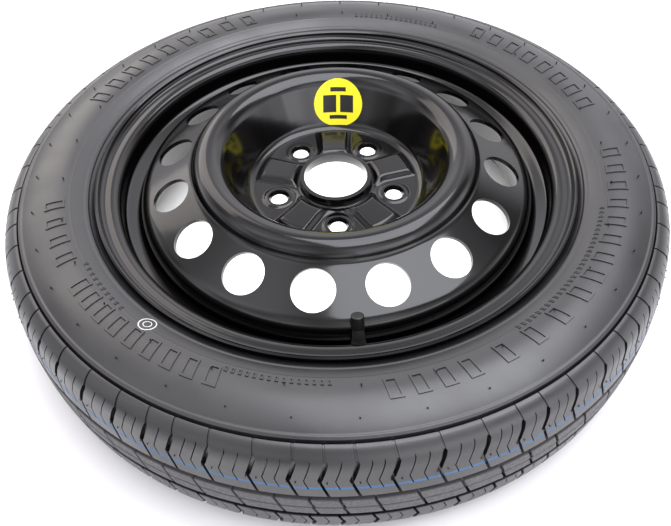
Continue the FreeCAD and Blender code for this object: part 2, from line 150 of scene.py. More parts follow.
def roughen(tree, shader, source, depth):
    """Bump of depth millimetres on a shader."""
    bump = node(tree, "ShaderNodeBump", {
        "Height": source.outputs["Fac"], "Distance": depth * MM, "Strength": 1.0})
    tree.links.new(bump.outputs["Normal"], shader.inputs["Normal"])


# %% [markdown]
# Tyre rubber is moulded, and the steel wheel is dipped in black paint. Both are nearly black, so the eye
# tells them apart by their sheen. Painted images could do this, but roughness and a little bump from
# noise hold at any distance, so these finishes have those.

# %% Materials
# Tyre rubber: satin dark grey, cloudy from handling, with a fine grain from the mould.
rubber, tree, shader = material("tyre_rubber", "131214", 0.4, Specular_IOR_Level=0.8)
cloud = speckle(tree, 55.0, 4.0)
tree.links.new(spread(tree, cloud, 0.3, 0.44), shader.inputs["Roughness"])
roughen(tree, shader, speckle(tree, 0.8), 0.05)

# Scuffed tread rubber: paler and duller, with fine specks, where the tread has touched the ground.
scuffed, tree, shader = material("scuffed_tread_rubber", "4a494a", 0.6)
tree.links.new(spread(tree, speckle(tree, 2.5, 3.0), 0.45, 0.8), shader.inputs["Roughness"])
roughen(tree, shader, speckle(tree, 1.5), 0.15)

# Gloss paint on steel: black with sharp reflections, a little wavy like any dipped pressing.
paint, tree, shader = material("black_paint", "050404", 0.12)
roughen(tree, shader, speckle(tree, 9.0), 0.025)
print("large finishes", len(bpy.data.materials))

# %% [markdown]
# The valve's pieces, the sticker and the marks are small, and only their colour and shine show. Typical
# values for rubber, brass, steel, vinyl and paint are enough, with no noise.

# %% Small finishes
# Valve rubber: matt black.
valve_rubber, _, _ = material("valve_rubber", "161616", 0.6)

# Cap plastic: black with a soft shine.
cap_plastic, _, _ = material("cap_plastic", "111111", 0.35)

# Seal rubber: dull black.
seal_rubber, _, _ = material("seal_rubber", "1a1a1a", 0.75)

# Brass: warm metal of the stem and the core.
brass, _, _ = material("brass", "c9a24a", 0.28, Metallic=1.0)

# Spring steel: bright grey metal.
spring_steel, _, _ = material("spring_steel", "b4b7ba", 0.3, Metallic=1.0)

# Label vinyl: bright yellow with a satin face.
vinyl, _, _ = material("yellow_vinyl", "f4e81c", 0.35)

# Printing ink on the label: flat black.
ink, _, _ = material("black_ink", "121212", 0.4)

# Tread paint: the thin blue line that marks the tread strip.
blue_paint, _, _ = material("blue_line_paint", "2c5a86", 0.6)

# Marking paint: a small white ring on the sidewall.
white_paint, _, _ = material("white_marking_paint", "c8c8c6", 0.6)
print("all finishes", len(bpy.data.materials))

# %% [markdown]
# The pieces that keep their CAD shape get a finish by name. Slots could be filled by hand in the editor,
# but a table shows each choice in one row.

# %% Finishes on the CAD pieces
FINISHES = {
    "disc_welds": paint,
    "valve_body": valve_rubber,
    "valve_stem": brass,
    "core_plug": brass,
    "core_barrel": brass,
    "core_gasket": seal_rubber,
    "core_pin": brass,
    "core_cup": brass,
    "core_cup_seal": seal_rubber,
    "core_spring": spring_steel,
    "valve_cap": cap_plastic,
    "cap_seal": seal_rubber,
}
for name, finish in FINISHES.items():
    mesh = nodes[name].data
    mesh.materials.clear()
    mesh.materials.append(finish)
print("dressed", len(FINISHES), "CAD pieces")

# %% [markdown]
# The coil spring in the valve's core gets shorter when the pin is pressed. Left stiff, it would let the
# pin's collar pass through its top coil. Here it only gets a mesh of its own, apart from the imported
# one.

# %% Core spring
spring = nodes["core_spring"]
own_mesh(spring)

# %% [markdown]
# A wheel is round, so nearly every piece starts as a section: radius and height above the wheel's centre
# plane, in millimetres. A curve with a screw modifier could turn it, but plain points keep the bends
# exact and let the tread and the star press into the grid later.

# %% Section helpers


def left_of(way):
    """Direction a quarter turn to the left."""
    return np.stack([-way[..., 1], way[..., 0]], axis=-1)


def unit(vector):
    return vector / np.linalg.norm(vector, axis=-1, keepdims=True)


def rounded(corners, step):
    """Points and left normals of a path whose corners are (radius, height, bend radius)."""
    spots = np.array([c[:2] for c in corners], float)
    ways = unit(np.diff(spots, axis=0))
    points = [spots[:1]]
    sides = [left_of(ways[:1])]
    for k in range(1, len(corners)):
        if k == len(corners) - 1:
            stop = spots[k]
        else:
            turn = math.atan2(left_of(ways[k - 1]) @ ways[k], ways[k - 1] @ ways[k])
            bend = corners[k][2]
            stop = spots[k] - ways[k - 1] * bend * math.tan(abs(turn) / 2)
        start = points[-1][-1]
        count = max(1, round(np.linalg.norm(stop - start) / step))
        run = start + np.outer(np.arange(1, count + 1) / count, stop - start)
        points.append(run)
        sides.append(np.repeat(left_of(ways[k - 1:k]), count, axis=0))
        if k == len(corners) - 1:
            break
        side = math.copysign(1, turn)
        centre = stop + left_of(ways[k - 1]) * side * bend
        count = max(4, round(bend * abs(turn) / step))
        angles = np.arange(1, count + 1) / count * turn
        normal = left_of(ways[k - 1])
        turned = np.stack([
            normal[0] * np.cos(angles) - normal[1] * np.sin(angles),
            normal[0] * np.sin(angles) + normal[1] * np.cos(angles)], axis=-1)
        points.append(centre - turned * side * bend)
        sides.append(turned)
    return np.concatenate(points), np.concatenate(sides)


def arc_points(start, way, end, count):
    """Points of the arc that leaves start along way and stops at end."""
    start, way, end = (np.array(v, float) for v in (start, way, end))
    chord = end - start
    normal = left_of(way)
    bend = chord @ chord / (2 * chord @ normal)
    centre = start + normal * bend
    first = math.atan2(*(start - centre)[::-1])
    swing = (math.atan2(*(end - centre)[::-1]) - first + math.pi) % (2 * math.pi) - math.pi
    angles = first + np.linspace(0, 1, count) * swing
    return centre + abs(bend) * np.stack([np.cos(angles), np.sin(angles)], axis=-1)


def path_normals(points):
    """Left normals along sampled points."""
    return left_of(unit(np.gradient(points, axis=0)))


def smooth_step(value):
    """Soft ramp from 0 to 1."""
    value = np.clip(value, 0, 1)
    return value * value * (3 - 2 * value)


print("points on a small bend", len(rounded([(0, 0, 0), (10, 0, 5), (10, 10, 0)], 1.0)[0]))

# %% [markdown]
# A grid of points becomes a mesh whose rows and columns can close on themselves. Each piece could have
# its own mesh code, but one function for all leaves no seam open, and each piece then says which body
# carries it and which CAD piece it stands for.

# %% Mesh helpers


def wheel_points(radius, height, angle):
    """Metres in the frame from radius and height in millimetres and an angle in radians."""
    radius, height, angle = np.broadcast_arrays(radius, height, angle)
    return np.stack([radius * np.cos(angle), radius * np.sin(angle), height + HALF_WIDTH], axis=-1) * MM


def grid_mesh(name, grids, skins, loop_rows=True, loop_columns=True):
    """Object over one or more grids of points, joined end to end where they loop."""
    corners = []
    faces = []
    for points in grids:
        rows, columns = points.shape[:2]
        here = np.arange(rows * columns).reshape(rows, columns) + len(corners)
        right = np.roll(here, -1, axis=1)
        below = np.roll(here, -1, axis=0)
        quads = np.stack([here, right, np.roll(below, -1, axis=1), below], axis=-1)
        if not loop_rows:
            quads = quads[:-1]
        if not loop_columns:
            quads = quads[:, :-1]
        corners += points.reshape(-1, 3).tolist()
        faces += quads.reshape(-1, 4).tolist()
    mesh = bpy.data.meshes.new(name)
    mesh.from_pydata(corners, [], faces)
    for skin in skins:
        mesh.materials.append(skin)
    mesh.shade_smooth()
    made = bpy.data.objects.new(name, mesh)
    bpy.context.scene.collection.objects.link(made)
    return made


def turned_mesh(name, outline, columns, skin):
    """Closed ring turned from an outline that runs anticlockwise in (radius, height)."""
    angles = np.arange(columns) * 2 * math.pi / columns
    points = wheel_points(outline[:, :1], outline[:, 1:], angles)
    return grid_mesh(name, [points], [skin])


def settle(piece, slot, *replaced, edge=40):
    """Give a piece its body and hide the nodes it replaces, with creases where it bends sharply; its slot
    is not used.
    """
    piece.data.set_sharp_from_angle(angle=math.radians(edge))
    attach(piece, "wheel")
    if replaced:
        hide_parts(*replaced)
    print(piece.name, "faces", len(piece.data.polygons))


# %% [markdown]
# The carcass is one moulding: beads on the rim, sidewalls, and a crown that carries the tread. It could
# be sculpted, but its mould is turned, so a turned section with the mould's raised rings comes closest.
# The tread strip is left low, because the tread's rings lie over it.

# %% Tyre section
TYRE_RADIUS = 303.0
TREAD_EDGE = np.array([299.3, 41.0])
SHOULDER = np.array([284.0, 55.4])
CREST = np.array([256.0, 62.5])
RIM_GUARD = np.array([224.5, 51.3])
TREAD_BEND = 229.0
TREAD_DEPTH = 6.0
BASE_EDGE = 46.0
BLOCK_END = 285.2
SIDE_RIDGES = [
    (282.3, 1.5, 0.9),
    (239.5, 0.4, 0.25),
    (227.0, 1.5, 0.6),
]


def tread_radius(height):
    """Radius of the tread's crown at a height."""
    return TYRE_RADIUS - TREAD_BEND + np.sqrt(TREAD_BEND ** 2 - height ** 2)


edge_way = left_of(unit(TREAD_EDGE - np.array([TYRE_RADIUS - TREAD_BEND, 0.0])))
shoulder_arc = arc_points(TREAD_EDGE, edge_way, SHOULDER, 60)


def sidewall_rows():
    """Sidewall from the shoulder ridge to the rim guard, with its raised lines."""
    upper = arc_points(CREST, (1, 0), SHOULDER, 48)[::-1]
    lower = arc_points(CREST, (-1, 0), RIM_GUARD, 54)
    points = np.concatenate([upper, lower[1:]])
    lift = np.zeros(len(points))
    for radius, half, height in SIDE_RIDGES:
        lift += height * smooth_step((half + 0.35 - np.abs(points[:, 0] - radius)) / 0.7)
    return points - path_normals(points) * lift[:, None]


def carcass_half():
    """Upper half of the carcass outline, from the tread's middle round to the liner's middle."""
    heights = np.linspace(0, BASE_EDGE, 14)
    on_arc = np.interp(heights, shoulder_arc[:, 1], shoulder_arc[:, 0])
    tops = np.where(heights <= TREAD_EDGE[1], tread_radius(np.minimum(heights, TREAD_EDGE[1])), on_arc)
    base = np.stack([tops - TREAD_DEPTH, heights], axis=-1)
    ledge = np.array([[BLOCK_END - 1.0, 54.0]])
    bead = np.array([
        (217.16, 46.2), (214.5, 44.7), (211.5, 44.15), (207.6, 44.15), (204.5, 42.4),
        (203.3, 39.0), (201.5, 25.9)])
    liner = np.concatenate([
        arc_points((256.0, 55.5), (-1, 0), (213.5, 34.9), 10)[::-1],
        arc_points((256.0, 55.5), (1, 0), (291.5, 33.0), 10)[1:],
        arc_points((293.0, 0.0), (0, 1), (291.5, 33.0), 6)[::-1][1:]])
    return np.concatenate([base, ledge, sidewall_rows(), bead, liner])


half = carcass_half()
lower_half = half[::-1] * (1, -1)
carcass_outline = np.concatenate([lower_half[:-1], half[:-1]])
carcass = turned_mesh("tyre_carcass", carcass_outline, 300, rubber)
settle(carcass, "tyre_rubber", "tyre", edge=50)

# %% [markdown]
# The tread is four rings of rubber between three ring grooves. Zigzag grooves and thin sipes cut across
# it in long, middle and short pitches, which keep a tyre from humming. Booleans for hundreds of cuts
# would be slow and leave slivers, so each ring is a grid whose columns follow the cuts.

# %% Tread
PITCH_ORDER = "MSSMLLMSML" * 7
PITCH_LENGTH = {"S": 21.0, "M": 27.0, "L": 31.4}
PITCH_START = -63.7
ROUND = 2 * math.pi * TYRE_RADIUS
# Pairs of height above the tread's middle and value there, in millimetres
ZIGZAG = ((10.0, 3.8), (13.0, 3.6), (32.0, -2.5), (48.0, 2.0), (55.4, 0.0))
GROOVE_WIDTH = ((13.0, 2.2), (31.0, 2.2), (33.0, 3.5), (47.5, 3.5), (48.5, 2.0), (55.4, 2.0))
GROOVE_DEPTH = ((13.0, 5.0), (47.0, 4.6), (48.5, 1.1), (55.4, 0.9))
SIPE_WIDTH = ((13.0, 0.8), (55.4, 0.8))
SIPE_DEPTH = ((22.5, 0.0), (23.2, 3.0), (48.0, 3.0), (48.8, 0.0))
CROSS_WIDTH = ((0.0, 2.4), (20.0, 2.4))
CROSS_DEPTH = ((0.0, 4.0), (20.0, 4.0))
BLUE_BAND = (22.9, 25.2)
RING_STEPS = (18.0, 20.5, 22.5, *BLUE_BAND, 26.5, 29.0, 31.0, 32.0, 33.0, 36.0, 39.0, 41.0)
CROSS_SLANT = 0.33
EDGE_DROP = 0.5


def table(pairs, height):
    """Value at a height, between the pairs of a table."""
    heights, values = zip(*pairs)
    return np.interp(height, heights, values)


def pitch_marks():
    """Start and length of every pitch round the tyre, in millimetres along the tread."""
    lengths = np.array([PITCH_LENGTH[k] for k in PITCH_ORDER])
    lengths *= ROUND / lengths.sum()
    starts = PITCH_START + np.concatenate([[0], np.cumsum(lengths)[:-1]])
    return list(zip(PITCH_ORDER, starts, lengths))


print("pitches", len(pitch_marks()))

# %% [markdown]
# A cut takes four columns: two at its edges on the tread's face and two on its floor. Plain columns fill
# the way to the next cut. Steep walls then come from the grid itself, without any cutting.

# %% Tread cuts


def rib_columns(cuts):
    """Columns (place, share of cut width, sunk or not, cut kind) with plain ones between cuts."""
    cuts = sorted(cuts)
    columns = []
    for (place, kind), (following, _) in zip(cuts, cuts[1:] + [(cuts[0][0] + ROUND, "")]):
        for share, sunk in ((-0.5, 0), (-0.38, 1), (0.38, 1), (0.5, 0)):
            columns.append((place, share, sunk, kind))
        for part in (0.33, 0.67):
            columns.append((place + (following - place) * part, 0, 0, kind))
    return columns


def rib_rows(heights):
    """Surface points and outward normals at heights on the crown, then down the shoulder."""
    crown = np.stack([tread_radius(heights), heights], axis=-1)
    fall = shoulder_arc[shoulder_arc[:, 0] > BLOCK_END][2::4]
    points = np.concatenate([crown, fall])
    return points, -path_normals(points)


print("columns to a cut", len(rib_columns([(0.0, "groove")])))

# %% [markdown]
# One function makes any ring: it shifts the columns along the zigzag, sinks the cuts to their depth and
# closes the ring underneath. The thin blue line is a row of faces with its own paint, because real tread
# strips get theirs before the tyre is moulded.

# %% Tread ring


def rib(name, points, outward, floor, cuts, shift, sizes, skin=rubber, line=None):
    """Closed ring of tread: sunk columns on top, plain rows underneath."""
    columns = rib_columns(cuts)
    place = np.array([c[0] for c in columns])
    share = np.array([c[1] for c in columns])
    sunk = np.array([c[2] for c in columns])
    heights = np.abs(points[:, 1])
    kinds = np.array([c[3] for c in columns])
    width = np.zeros((len(points), len(columns)))
    depth = np.zeros_like(width)
    for kind, (widths, depths) in sizes.items():
        mine = kinds == kind
        width[:, mine] = table(widths, heights)[:, None]
        depth[:, mine] = table(depths, heights)[:, None]
    along = place + share * width + shift(points[:, 1])[:, None]
    top = points[:, None, :] - outward[:, None, :] * (sunk * depth)[..., None]
    edge_drop = np.zeros(len(points))
    edge_drop[[0, -1]] = EDGE_DROP
    top = top - outward[:, None, :] * edge_drop[:, None, None]
    under = np.repeat(floor[:, None, :], len(columns), axis=1)
    under_along = np.repeat(along[-1:], len(floor), axis=0)
    under_along[len(floor) // 2:] = along[:1]
    section = np.concatenate([top, under])
    angle = np.concatenate([along, under_along]) / TYRE_RADIUS - math.pi / 2
    points = wheel_points(section[..., 0], section[..., 1], angle)
    made = grid_mesh(name, [points], [skin, blue_paint])
    if line:
        rows = np.nonzero((heights[:-1] >= line[0] - 0.01) & (heights[1:] <= line[1] + 0.01))[0]
        plain = np.nonzero((sunk == 0) & (np.roll(sunk, -1) == 0))[0]
        for row in rows:
            for column in plain:
                made.data.polygons[int(row * len(columns) + column)].material_index = 1
    settle(made, "tyre_rubber", edge=35)
    return made


print("blue line", BLUE_BAND, "mm above the middle")

# %% [markdown]
# The shoulder rings have a zigzag groove at every pitch, with one or two sipes between grooves, and run
# over the shoulder to the sidewall. The lower ring mirrors the upper one, half a pitch on.

# %% Shoulder rings


def outer_rib(name, side):
    """Shoulder ring: zigzag grooves at every pitch, with one or two sipes between them."""
    cuts = []
    for kind, start, length in pitch_marks():
        lag = 0 if side > 0 else length / 2
        cuts.append((start + lag, "groove"))
        for part in (0.5,) if kind == "S" else (0.36, 0.67):
            cuts.append((start + lag + length * part, "sipe"))
    inner = 13.0 if side > 0 else 21.0
    steps = [inner, inner + 0.5, inner + 2]
    steps += [h for h in RING_STEPS if h > inner + 2.4]
    points, outward = rib_rows(np.array(steps))
    floor = np.array([points[-1] - outward[-1] * 1.8, (288.5, 47.0), (291.0, BASE_EDGE - 1),
                      (points[0][0] - TREAD_DEPTH - 0.5, inner)])
    sizes = {"groove": (GROOVE_WIDTH, GROOVE_DEPTH), "sipe": (SIPE_WIDTH, SIPE_DEPTH)}
    if side > 0:
        return rib(name, points, outward, floor, cuts, lambda z: table(ZIGZAG, z), sizes, line=BLUE_BAND)
    flip = np.array([1, -1])
    turned_floor = np.concatenate([floor[-1:], floor[:-1][::-1]]) * flip
    return rib(name, points[::-1] * flip, outward[::-1] * flip, turned_floor, cuts,
               lambda z: -table(ZIGZAG, -z), sizes)


outer_rib("tread_outer", 1)
outer_rib("tread_inner", -1)

# %% [markdown]
# The two middle rings have slanted cross grooves, one to a pitch. They meet the ground first, so they
# are scuffed. With them, all four rings are made.

# %% Middle rings


def centre_rib(name, low, high, lag):
    """Middle ring: slanted cross grooves, one to a pitch."""
    cuts = [(start + length * lag, "cross") for _, start, length in pitch_marks()]
    heights = np.array([low, low + 0.5, (2 * low + high) / 3, (low + 2 * high) / 3, high - 0.5, high])
    points = np.stack([tread_radius(heights), heights], axis=-1)
    outward = -path_normals(points)
    floor = np.array([(tread_radius(high) - TREAD_DEPTH - 0.5, high),
                      (tread_radius(low) - TREAD_DEPTH - 0.5, low)])
    sizes = {"cross": (CROSS_WIDTH, CROSS_DEPTH)}
    return rib(name, points, outward, floor, cuts, lambda z: -CROSS_SLANT * (z - high), sizes, scuffed)


centre_rib("tread_middle_upper", -3.4, 7.0, 0.5)
centre_rib("tread_middle_lower", -15.0, -4.6, 0.62)

# %% [markdown]
# A tyre's mould leaves raised marks on the sidewall, and stubs where it let air out. A bump map could
# suggest them, but close to the lens their edges catch the light, so they are low bands that follow the
# sidewall's curve.

# %% Sidewall marks
# First and last azimuth, count, radius, radial height, width, stroke
MARKS = [
    (-111.0, -143.0, 9, 252.0, 17.0, 10.0, 1.7),
    (-151.0, -166.0, 4, 252.0, 17.0, 10.0, 1.7),
    (-82.0, -69.0, 4, 252.0, 17.0, 10.0, 1.7),
    (-62.5, -50.0, 3, 252.0, 17.0, 10.0, 1.7),
    (-43.5, -3.0, 9, 252.0, 17.0, 11.0, 1.7),
    (14.0, 50.0, 8, 254.0, 18.0, 13.0, 1.7),
    (112.0, 158.0, 9, 254.0, 18.0, 13.0, 1.7),
    (-109.5, -92.0, 15, 243.5, 4.5, 2.6, 0.8),
    (83.0, 61.0, 17, 243.5, 4.5, 2.6, 0.8),
    (-57.0, -20.0, 30, 239.5, 3.6, 2.2, 0.7),
    (-134.0, -148.0, 10, 239.0, 3.6, 2.2, 0.7),
]
MARK_LIFT = 0.85
MARK_SLANT = 0.15
SPEW_RINGS = ((271.0, 37), (246.5, 29))
RING_PLACE = (236.4, -127.5)


def side_points(radius, angle, lift):
    """Points on the upper sidewall, raised by lift millimetres."""
    arc = np.concatenate([
        arc_points(CREST, (-1, 0), RIM_GUARD, 40)[::-1], arc_points(CREST, (1, 0), SHOULDER, 40)[1:]])
    return wheel_points(radius, np.interp(radius, arc[:, 0], arc[:, 1]) + lift, angle)


def raised_loop(radius, azimuth, outer, inner, lift):
    """Raised band between two loops of (outward, across) points round a place on the sidewall."""
    rows = []
    for loop, rise in ((outer, -0.4), (outer, lift), (inner, lift), (inner, -0.4)):
        angle = math.radians(azimuth) + loop[:, 1] / radius
        rows.append(side_points(radius + loop[:, 0], angle, rise))
    return np.array(rows)


def leaning_box(height, width):
    """Loop round a leaning box, with points along its sides."""
    spots = np.array([(-1, -1), (1, -1), (1, 1), (-1, 1), (-1, -1)]) * (height / 2, width / 2)
    sides = [a + np.outer(np.arange(5) / 5, b - a) for a, b in zip(spots, spots[1:])]
    loop = np.concatenate(sides)
    return np.stack([loop[:, 0], loop[:, 1] + MARK_SLANT * loop[:, 0]], axis=-1)


def round_loop(radius, count):
    """Loop of points on a circle."""
    angles = np.arange(count) * 2 * math.pi / count
    return radius * np.stack([np.cos(angles), np.sin(angles)], axis=-1)


def sidewall_marks():
    """Bands of all the raised marks and stubs on the upper sidewall."""
    bands = []
    for first, last, count, radius, height, width, stroke in MARKS:
        outer = leaning_box(height, width)
        inner = leaning_box(height - 2 * stroke, width - 2 * stroke)
        for azimuth in np.linspace(first, last, count):
            bands.append(raised_loop(radius, azimuth, outer, inner, MARK_LIFT * min(1, stroke)))
    for radius, count in SPEW_RINGS:
        for k in range(count):
            bands.append(raised_loop(radius, k * 360 / count, round_loop(0.6, 8), round_loop(0.05, 8), 2.4))
    return bands


settle(grid_mesh("sidewall_marks", sidewall_marks(), [rubber], False), "tyre_rubber")

# %% [markdown]
# The tread has stubs of its own, a few to a pitch. The painted ring on the sidewall is a thin skin, made
# from the same loops as the raised marks, because paint has an edge but no height to speak of.

# %% Stubs and painted ring


def tread_stub(along, height, rise):
    """Stub that the mould's air vent leaves on the tread."""
    base = tread_radius(height)
    rows = []
    for size, lift in ((0.6, -0.5), (0.6, rise), (0.05, rise)):
        loop = round_loop(size, 8)
        angle = (along + loop[:, 1]) / TYRE_RADIUS - math.pi / 2
        rows.append(wheel_points(base + lift, height + loop[:, 0], angle))
    return np.array(rows)


def tread_stubs():
    """Stubs on the upper shoulder ring and on both middle rings, a few to a pitch."""
    stubs = []
    for _, start, length in pitch_marks():
        for part in (0.12, 0.88):
            stubs.append(tread_stub(start + length * (part + 0.5), 2.0, -0.1))
            stubs.append(tread_stub(start + length * part, 30.0, 0.8))
        for part in (0.25, 0.75):
            stubs.append(tread_stub(start + length * (part + 0.62), -10.0, -0.1))
    return stubs


settle(grid_mesh("tread_stubs", tread_stubs(), [rubber], False), "tyre_rubber")
ring = raised_loop(*RING_PLACE, round_loop(6.8, 40), round_loop(6.0, 40), 0.35)
dot = raised_loop(*RING_PLACE, round_loop(3.4, 24), round_loop(2.8, 24), 0.35)
settle(grid_mesh("painted_ring", [ring, dot], [white_paint], False), "tyre_rubber")

# %% [markdown]
# The rim is one sheet, rolled to two flanges, two bead seats and a well. A solidify modifier could give
# it thickness, but rolled edges are round, so the outline gets round ends and is then turned.

# %% Rim
RIM_SHEET = 2.8
# Radius, height and bend of each corner on the tyre's side, from the well to the upper lip
RIM_CORNERS = [
    (186.8, 19.281, 3.0),
    (201.05, 24.45, 5.8),
    (202.8, 44.45, 5.5),
    (220.0, 44.45, 8.5),
    (220.0, 53.45, 0),
]


def sheet_outline(corners, thickness, step):
    """Closed outline of a bent sheet with half-round ends, anticlockwise."""
    points, normals = rounded(corners, step)
    far = points + normals * thickness
    end_way = unit(points[-1] - points[-2])
    start_way = unit(points[0] - points[1])
    tip = (points[-1] + far[-1]) / 2 + end_way * thickness * 0.3
    tail = (points[0] + far[0]) / 2 + start_way * thickness * 0.3
    return np.concatenate([points, tip[None], far[::-1], tail[None]])


lower_corners = [(r, -z, bend) for r, z, bend in reversed(RIM_CORNERS)]
rim = turned_mesh("rim_rolled", sheet_outline(lower_corners + RIM_CORNERS, RIM_SHEET, 2.2), 320, paint)
settle(rim, "wheel_paint", "rim")

# %% [markdown]
# The wheel disc is one pressing: a flange inside the rim, a ring of vents, a high crown, a bowl and a
# hub with a five-armed star. It could be modelled by subdivision, but gloss paint shows each dent that
# this leaves. So the section is turned with true bends, on a fine grid.

# %% Wheel disc
SHEET = 4.0
COLUMNS = 480
VENTS = 16
VENT_RADIUS = 18.25
VENT_PHASE = 14.8
VENT_PLACE = np.array([153.95, 49.1])
VENT_SLOPE = math.radians(23.3)
BOLTS = 5
BOLT_PHASE = -89.1
BOLT_PLACE = 57.15
BOLT_PAD_RADIUS = 14.5
BOLT_PAD_SOFT = 1.6
BOLT_PAD_RISE = 0.9
POCKET = 20.0
POCKET_TURN = math.radians(122.0)
STAR_RADIUS = 74.5
STAR_RISE = 5.0
STAR_SOFT = 3.6
MOAT_WIDTH = 8.0
DISC_RADIUS = 183.95
FLANGE_END = -2.0
FLANGE_BEND = 18.0
CROWN_RADIUS = 118.0
CROWN_HEIGHT = 71.0
CROWN_BEND = 14.0
CROWN_FOOT_BEND = 6.5
BOWL_BEND = 18.0
BOWL_FOOT_BEND = 9.5
CROWN_SLOPE = math.radians(68.0)
BOWL_SLOPE = math.radians(64.0)
PAD_HEIGHT = 22.0
COLLAR_RADIUS = 34.05
COLLAR_HEIGHT = 31.6
COLLAR_BEND = 3.0


def disc_corners():
    """Visible side of the disc, from the flange's lower edge over the crown to the collar."""
    fall = math.tan(VENT_SLOPE)
    wall = math.tan(CROWN_SLOPE)
    edge = VENT_PLACE[1] - (DISC_RADIUS - VENT_PLACE[0]) * fall
    outer_top = CROWN_RADIUS + CROWN_BEND * math.tan(CROWN_SLOPE / 2)
    inner_top = CROWN_RADIUS - BOWL_BEND * math.tan(BOWL_SLOPE / 2)
    cone_at_top = VENT_PLACE[1] + (VENT_PLACE[0] - outer_top) * fall
    foot = outer_top + (CROWN_HEIGHT - cone_at_top) / (wall - fall)
    bowl_foot = inner_top - (CROWN_HEIGHT - PAD_HEIGHT) / math.tan(BOWL_SLOPE)
    return [
        (DISC_RADIUS, FLANGE_END, 0),
        (DISC_RADIUS, edge, FLANGE_BEND),
        (foot, CROWN_HEIGHT - (foot - outer_top) * wall, CROWN_FOOT_BEND),
        (outer_top, CROWN_HEIGHT, CROWN_BEND),
        (inner_top, CROWN_HEIGHT, BOWL_BEND),
        (bowl_foot, PAD_HEIGHT, BOWL_FOOT_BEND),
        (COLLAR_RADIUS, PAD_HEIGHT, COLLAR_BEND),
        (COLLAR_RADIUS, COLLAR_HEIGHT, 0),
    ]


print("disc corners", [tuple(round(v, 1) for v in corner) for corner in disc_corners()])

# %% [markdown]
# The star is what stays between five round pockets, one at each bolt. Its height comes from the distance
# to the nearest edge, smoothed, so that it is as soft as pressed steel and needs no extra edges.

# %% Hub star


def star_lift(x, y):
    """Height that the hub's pressing adds at a point, in millimetres."""
    radius = np.hypot(x, y)
    inside = STAR_RADIUS - radius
    pad = np.zeros_like(radius)
    for k in range(BOLTS):
        angle = math.radians(BOLT_PHASE + k * 360 / BOLTS)
        out = x * math.cos(angle) + y * math.sin(angle) - BOLT_PLACE
        across = np.abs(y * math.cos(angle) - x * math.sin(angle))
        reach = np.hypot(out, across)
        flank = out * math.cos(POCKET_TURN) + across * math.sin(POCKET_TURN)
        pocket = np.where(np.arctan2(across, out) > POCKET_TURN, reach, flank) - POCKET
        inside = np.minimum(inside, pocket)
        pad = np.maximum(pad, smooth_step((BOLT_PAD_RADIUS - reach) / BOLT_PAD_SOFT))
    star = STAR_RISE * smooth_step((inside + STAR_SOFT) / (2 * STAR_SOFT))
    return star * smooth_step((radius - COLLAR_RADIUS - 1.0) / MOAT_WIDTH) + BOLT_PAD_RISE * pad


def disc_surface(points, normals, side):
    """Grid of one face of the pressing, shifted along the section's normals."""
    angles = np.arange(COLUMNS) * 2 * math.pi / COLUMNS
    shifted = points + normals * side
    radius, height = np.broadcast_arrays(shifted[:, :1], shifted[:, 1:])
    x = points[:, :1] * np.cos(angles)
    y = points[:, :1] * np.sin(angles)
    return wheel_points(radius, height + star_lift(x, y), angles)


def pressed_disc():
    """Fine upper face and coarser underside, joined at the flange and the collar."""
    points, normals = rounded(disc_corners(), 1.6)
    top = disc_surface(points, normals, 0)
    keep = sorted(set(range(0, len(points), 3)) | {len(points) - 1})
    under = disc_surface(points[keep], normals[keep], SHEET)
    return grid_mesh("pressed_disc", [np.concatenate([top, under[::-1]])], [paint])


disc = pressed_disc()
print("disc faces", len(disc.data.polygons))

# %% [markdown]
# A press punches the holes last, and so does this cell. The grid could be laid round each hole, but one
# cutter with all the vents and conical bolt seats, and one exact boolean, leave it clean.

# %% Holes
# Radius and height along each cutter's own axis
VENT_CUTTER = [(VENT_RADIUS, -14), (VENT_RADIUS, 14)]
BOLT_CUTTER = [(7.5, -9), (7.5, -2.8), (9.8, 1.1), (9.8, 4)]


def lathe(outline, matrix, columns):
    """Vertices and faces of a closed cutter turned about its own axis."""
    angles = np.arange(columns) * 2 * math.pi / columns
    rings = [[matrix @ Vector((r * math.cos(a) * MM, r * math.sin(a) * MM, z * MM)) for a in angles]
             for r, z in outline]
    corners = [p for ring in rings for p in ring]
    faces = [list(range(columns))[::-1]]
    for k in range(len(rings) - 1):
        for c in range(columns):
            n = (c + 1) % columns
            faces.append([k * columns + c, k * columns + n, (k + 1) * columns + n, (k + 1) * columns + c])
    faces.append([(len(rings) - 1) * columns + c for c in range(columns)])
    return corners, faces


